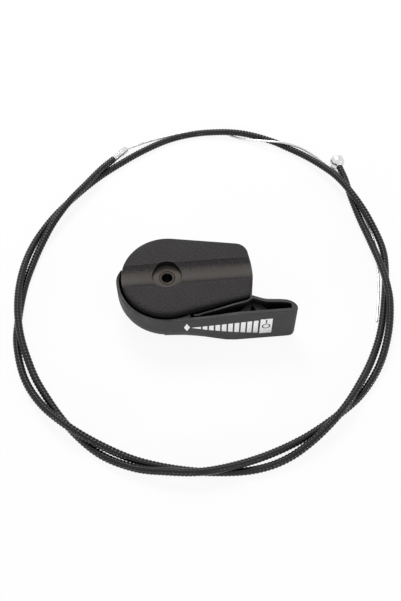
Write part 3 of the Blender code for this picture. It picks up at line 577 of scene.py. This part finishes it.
def make_finishes():
    effects = {
        "grain": make_moulding_grain(),
        "edges": make_painted_edge_highlight(),
        "recess_shade": make_painted_recess_shade(),
        "lines": make_tool_lines(),
    }
    # A moulding's edge colour and amount set its painted edge highlight and wear, and its reach sets how
    # far the painted shade in its recesses goes
    mouldings = {
        "charcoal_housing": {
            "colour": (0.031, 0.0285, 0.0292),
            "roughness": 0.66,
            "edge_light": (0.17, 0.17, 0.175),
            "speckle": 2.2,
            "specular": 0.16,
            "relief": 0.0001,
            "extra": saddle_wear_and_painted_light,
        },
        "slate_lever": {
            "colour": (0.0205, 0.02, 0.0212),
            "roughness": 0.56,
            "edge_light": (0.12, 0.12, 0.122),
            "speckle": 1.2,
            "specular": 0.38,
            "rubbed_and_lit": 0.55,
            "extra": painted_marks,
        },
        "natural_nylon": {
            "colour": (0.72, 0.69, 0.6),
            "roughness": 0.45,
            "edge_light": (0.8, 0.78, 0.72),
            "speckle": 0.15,
            "relief": 0.00001,
        },
        "black_sheath": {
            "colour": (0.006, 0.006, 0.0065),
            "roughness": 0.2,
            "edge_light": (0.03, 0.03, 0.032),
            "speckle": 0.4,
            "specular": 0.3,
            "relief": 0.00001,
            "reach": 0.003,
        },
    }
    # Where a metal has a shade amount and reach, they set the painted shade in its corners
    metals = {
        "zinc_plate": {"colour": (0.5, 0.5, 0.49), "roughness": 0.34, "dullness": 0.35},
        "oxidised_bush": {
            "colour": (0.045, 0.039, 0.034),
            "roughness": 0.6,
            "dullness": 0.5,
            "recess_shade_amount": 0.98,
            "reach": 0.008,
        },
        "oiled_spring_steel": {"colour": (0.33, 0.33, 0.34), "roughness": 0.28, "dullness": 0.3},
        "bright_wire": {"colour": (0.66, 0.66, 0.67), "roughness": 0.24, "dullness": 0.3},
        "bright_nickel": {
            "colour": (0.7, 0.705, 0.71),
            "roughness": 0.2,
            "dullness": 0.25,
            "recess_shade_amount": 0.85,
            "reach": 0.003,
        },
    }
    finishes = {name: moulded(name, effects, **look) for name, look in mouldings.items()}
    finishes.update({name: metal(name, effects, **look) for name, look in metals.items()})
    return finishes


def finish_cad_nodes(finishes):
    chosen = {
        "charcoal_housing": ("base_housing", "cable_cover"),
        "slate_lever": ("control_lever",),
        "natural_nylon": ("bearing_sleeve", "thrust_washer"),
        "oxidised_bush": ("pivot_bush",),
        "zinc_plate": ("backing_washer", "cover_screw_1", "cover_screw_2", "cover_screw_3"),
        "oiled_spring_steel": ("friction_washer", "detent_ball", "detent_spring"),
    }
    for finish, nodes in chosen.items():
        for node in nodes:
            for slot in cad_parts[node].material_slots:
                slot.material = finishes[finish]


# Shapes


def run_along(line):
    """How far along the line each of its points lies."""
    return np.concatenate([[0], np.cumsum(np.linalg.norm(np.diff(line, axis=0), axis=1))])


def unit(vectors):
    """Each vector brought to a length of 1."""
    return vectors / np.linalg.norm(vectors, axis=-1, keepdims=True)


def smooth_line(route, gap, lowest):
    """Points about a gap apart on one smooth curve through the route, none under the lowest height."""
    knots = np.array(route)
    knots = np.vstack([2 * knots[0] - knots[1], knots, 2 * knots[-1] - knots[-2]])
    fine = []
    for before, start, end, after in zip(knots, knots[1:], knots[2:], knots[3:]):
        for t in np.linspace(0, 1, SPLINE_STEPS, endpoint=False):
            fine.append(
                start
                + 0.5 * t * (end - before)
                + t**2 * (before - 2.5 * start + 2 * end - 0.5 * after)
                + t**3 * (1.5 * (start - end) + 0.5 * (after - before))
            )
    fine.append(knots[-2])
    fine = np.array(fine)
    fine[:, 2] = np.maximum(fine[:, 2], lowest)
    run = run_along(fine)
    even = np.linspace(0, run[-1], int(round(run[-1] / gap)) + 1)
    return np.stack([np.interp(even, run, fine[:, axis]) for axis in range(3)], axis=1)


def swept(name, line, sides, radius_at):
    """A closed tube along a line. radius_at(run, angles) gives the radii of the ring run metres along."""
    along = unit(np.gradient(line, axis=0))
    side = unit(np.cross(along, (0, 0, 1)))
    up = np.cross(side, along)
    angles = np.arange(sides) * 2 * math.pi / sides
    points = []
    for centre, s, u, r in zip(line, side, up, run_along(line)):
        radii = radius_at(r, angles)
        points.append(centre + np.outer(np.cos(angles) * radii, s) + np.outer(np.sin(angles) * radii, u))
    last = (len(line) - 1) * sides
    faces = [list(range(sides))[::-1], list(range(last, last + sides))]
    for low in range(0, last, sides):
        faces += ring_faces(low, sides)
    return new_mesh(name, np.concatenate(points), faces)


def ring_faces(low, sides):
    """The faces between the ring of points that starts at low and the ring after it."""
    faces = []
    for i in range(sides):
        after = (i + 1) % sides
        faces.append((low + i, low + after, low + sides + after, low + sides + i))
    return faces


def turned(name, profile, start, direction):
    """A closed solid turned about a line. The profile is (radius, place on the line), axis to axis."""
    lean = mathutils.Vector((0, 0, 1)).rotation_difference(mathutils.Vector(direction))
    start = mathutils.Vector(start)
    sides = TURNED_SIDES
    points = [start + lean @ mathutils.Vector((0, 0, place)) for place in (profile[0][1], profile[-1][1])]
    rings = profile[1:-1]
    for radius, place in rings:
        for i in range(sides):
            angle = 2 * math.pi * i / sides
            offset = mathutils.Vector((radius * math.cos(angle), radius * math.sin(angle), place))
            points.append(start + lean @ offset)
    first = 2
    last = first + (len(rings) - 1) * sides
    faces = []
    for i in range(sides):
        after = (i + 1) % sides
        faces.append((0, first + after, first + i))
        faces.append((1, last + i, last + after))
    for low in range(first, last, sides):
        faces += ring_faces(low, sides)
    return new_mesh(name, points, faces)


def rounded(points, radius):
    """The profile with a small round at each of its corners between the axis ends."""
    eased = [points[0]]
    for before, corner, after in zip(points, points[1:], points[2:]):
        before, corner, after = (mathutils.Vector(point) for point in (before, corner, after))
        back = before - corner
        onward = after - corner
        cut = min(radius, back.length * LONGEST_CUT, onward.length * LONGEST_CUT)
        first = corner + back.normalized() * cut
        last = corner + onward.normalized() * cut
        for i in range(ROUNDING_STEPS + 1):
            t = i / ROUNDING_STEPS
            eased.append(tuple((1 - t) ** 2 * first + 2 * t * (1 - t) * corner + t**2 * last))
    eased.append(points[-1])
    return eased


def new_mesh(name, points, faces):
    form = bmesh.new()
    corners = [form.verts.new(point) for point in points]
    for face in faces:
        form.faces.new([corners[i] for i in face])
    bmesh.ops.recalc_face_normals(form, faces=form.faces)
    mesh = bpy.data.meshes.new(name)
    form.to_mesh(mesh)
    form.free()
    mesh.shade_smooth()
    mesh.set_sharp_from_angle(angle=math.radians(SHARP_ANGLE))
    obj = bpy.data.objects.new(name, mesh)
    bpy.context.scene.collection.objects.link(obj)
    return obj


def dress(obj, material, node):
    """Gives a piece of the cable its finish, body and material slot, and hides the CAD node it stands for.
    """
    obj.data.materials.append(material)
    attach(obj, "housing")
    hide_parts(node)
    return obj


def make_ferrule(start, direction, nickel):
    step = (FERRULE_COLLAR_RADIUS - FERRULE_RADIUS) / 2
    collar = FERRULE_LENGTH - FERRULE_COLLAR_LENGTH
    profile = [(0, FIT), (FERRULE_RADIUS, FIT)]
    for share in CRIMP_PLACES:
        crimp = collar * share
        profile += [
            (FERRULE_RADIUS, crimp - CRIMP_HALF),
            (FERRULE_RADIUS - CRIMP_DEPTH, crimp - CRIMP_FLOOR_HALF),
            (FERRULE_RADIUS - CRIMP_DEPTH, crimp + CRIMP_FLOOR_HALF),
            (FERRULE_RADIUS, crimp + CRIMP_HALF),
        ]
    profile += [
        (FERRULE_RADIUS, collar),
        (FERRULE_COLLAR_RADIUS, collar + step),
        (FERRULE_COLLAR_RADIUS, FERRULE_LENGTH - 4 * step),
        (FERRULE_COLLAR_RADIUS - 3 * step, FERRULE_LENGTH),
        (0, FERRULE_LENGTH),
    ]
    piece = turned("crimped_ferrule", rounded(profile, FERRULE_ROUNDING), start, direction)
    return dress(piece, nickel, "sheath_ferrule")


def make_cap(start, direction, nickel):
    neck = SHEATH_DIAMETER / 2 + FIT / 2
    mouth = NIPPLE_RADIUS + FIT
    edge = (CAP_RADIUS - mouth) / 3
    flare, bell, widest = (CAP_LENGTH * share for share in CAP_SHOULDERS)
    profile = [
        (0, FIT),
        (neck, FIT),
        (neck + edge, flare),
        (CAP_RADIUS - edge, bell),
        (CAP_RADIUS, widest),
        (CAP_RADIUS, CAP_LENGTH - edge),
        (CAP_RADIUS - edge, CAP_LENGTH),
        (mouth, CAP_LENGTH),
        (mouth, CAP_LENGTH - CAP_MOUTH_DEPTH),
        (0, CAP_LENGTH - CAP_MOUTH_DEPTH),
    ]
    piece = turned("bell_cap", rounded(profile, CAP_ROUNDING), start, direction)
    return dress(piece, nickel, "sheath_cap")


def make_nipple(start, direction, nickel):
    low = CAP_LENGTH - CAP_MOUTH_DEPTH + FIT
    high = low + NIPPLE_LENGTH
    dimple_floor = high - WIRE_DIAMETER / 4
    profile = [(0, low), (NIPPLE_RADIUS, low)]
    profile += [(NIPPLE_RADIUS * out, high - NIPPLE_RADIUS * down) for out, down in NIPPLE_DOME]
    profile += [(NIPPLE_RADIUS * NIPPLE_DIMPLE, dimple_floor), (0, dimple_floor)]
    piece = turned("barrel_nipple", rounded(profile, NIPPLE_ROUNDING), start, direction)
    return dress(piece, nickel, "end_nipple")


def ribbed(run, angles):
    """Radii of the sheath, whose ribs run round it as a screw thread does."""
    turn = run / RIB_PITCH - angles / (2 * math.pi)
    hollow = 0.5 - 0.5 * np.cos(2 * math.pi * turn)
    return SHEATH_DIAMETER / 2 - RIB_DEPTH * hollow**2


def stranded(run, angles):
    """Radii of the wire, whose strands are laid in a long twist."""
    turn = angles - 2 * math.pi * run / STRAND_PITCH
    return WIRE_DIAMETER / 2 - STRAND_DEPTH * (1 - np.abs(np.cos(STRANDS * turn / 2)))


def make_cable(finishes):
    nickel = finishes["bright_nickel"]
    line = smooth_line(SHEATH_ROUTE, RIB_PITCH / RINGS_A_RIB, SHEATH_DIAMETER / 2 + FLOOR_GAP)
    sheath = swept("sheath_ribs", line, SHEATH_SIDES, ribbed)
    dress(sheath, finishes["black_sheath"], "cable_sheath")
    near_way = unit(line[0] - line[1])
    far_way = unit(line[-1] - line[-2])
    ferrule = make_ferrule(line[0], near_way, nickel)
    cap = make_cap(line[-1], far_way, nickel)
    nipple = make_nipple(line[-1], far_way, nickel)
    wire_start = line[0] + near_way * (FERRULE_LENGTH + FIT)
    wire_route = [tuple(wire_start)] + WIRE_ROUTE
    wire_line = smooth_line(wire_route, WIRE_RING_GAP, WIRE_DIAMETER / 2 + FLOOR_GAP / 2)
    wire = swept("wire_strands", wire_line, WIRE_SIDES, stranded)
    dress(wire, finishes["bright_wire"], "inner_wire")


# Floor and light


def seen_directly(tree):
    """1 for camera rays and for what shows in metal or glass, else 0."""
    rays = put(tree, "LightPath").outputs
    return either(tree, rays["Is Camera Ray"], rays["Is Glossy Ray"], rays["Is Transmission Ray"])


def make_floor():
    half = FLOOR_HALF
    corners = [(-half, -half, 0), (half, -half, 0), (half, half, 0), (-half, half, 0)]
    floor = new_mesh("floor", corners, [(0, 1, 2, 3)])
    floor.location.z = -FLOOR_DROP
    material, tree, shader = new_material(
        "white_floor", Base_Color=FLOOR_COLOUR, Roughness=FLOOR_ROUGHNESS, Specular_IOR_Level=0.0
    )
    bright = put(tree, "Emission", {"Color": WHITE, "Strength": 1.0}).outputs[0]
    share = maths(tree, "MULTIPLY", seen_directly(tree), BRIGHT_SHARE)
    mixed = put(tree, "MixShader", {0: share, 1: shader.outputs[0], 2: bright}).outputs[0]
    feed(tree, tree.nodes["Material Output"].inputs["Surface"], mixed)
    floor.data.materials.append(material)


def make_world():
    world = bpy.data.worlds.new("studio")
    bpy.context.scene.world = world
    world.use_nodes = True
    tree = world.node_tree
    sky = tree.nodes["Background"]
    sky.inputs["Color"].default_value = WHITE
    feed(tree, sky.inputs["Strength"], ramp(tree, seen_directly(tree), 0.0, 1.0, SKY_LIGHT, 1.0))


def make_lamps():
    for name, (place, size, power) in LAMPS.items():
        lamp = bpy.data.lights.new(name, "AREA")
        lamp.size = size
        lamp.energy = power
        obj = bpy.data.objects.new(name, lamp)
        obj.location = place
        direction = mathutils.Vector(LAMP_AIM) - mathutils.Vector(place)
        obj.rotation_euler = direction.to_track_quat("-Z", "Y").to_euler()
        bpy.context.scene.collection.objects.link(obj)


def main():
    bpy.context.scene.view_settings.view_transform = "Standard"
    finishes = make_finishes()
    make_camera()
    make_cable(finishes)
    finish_cad_nodes(finishes)
    make_floor()
    make_world()
    make_lamps()


main()
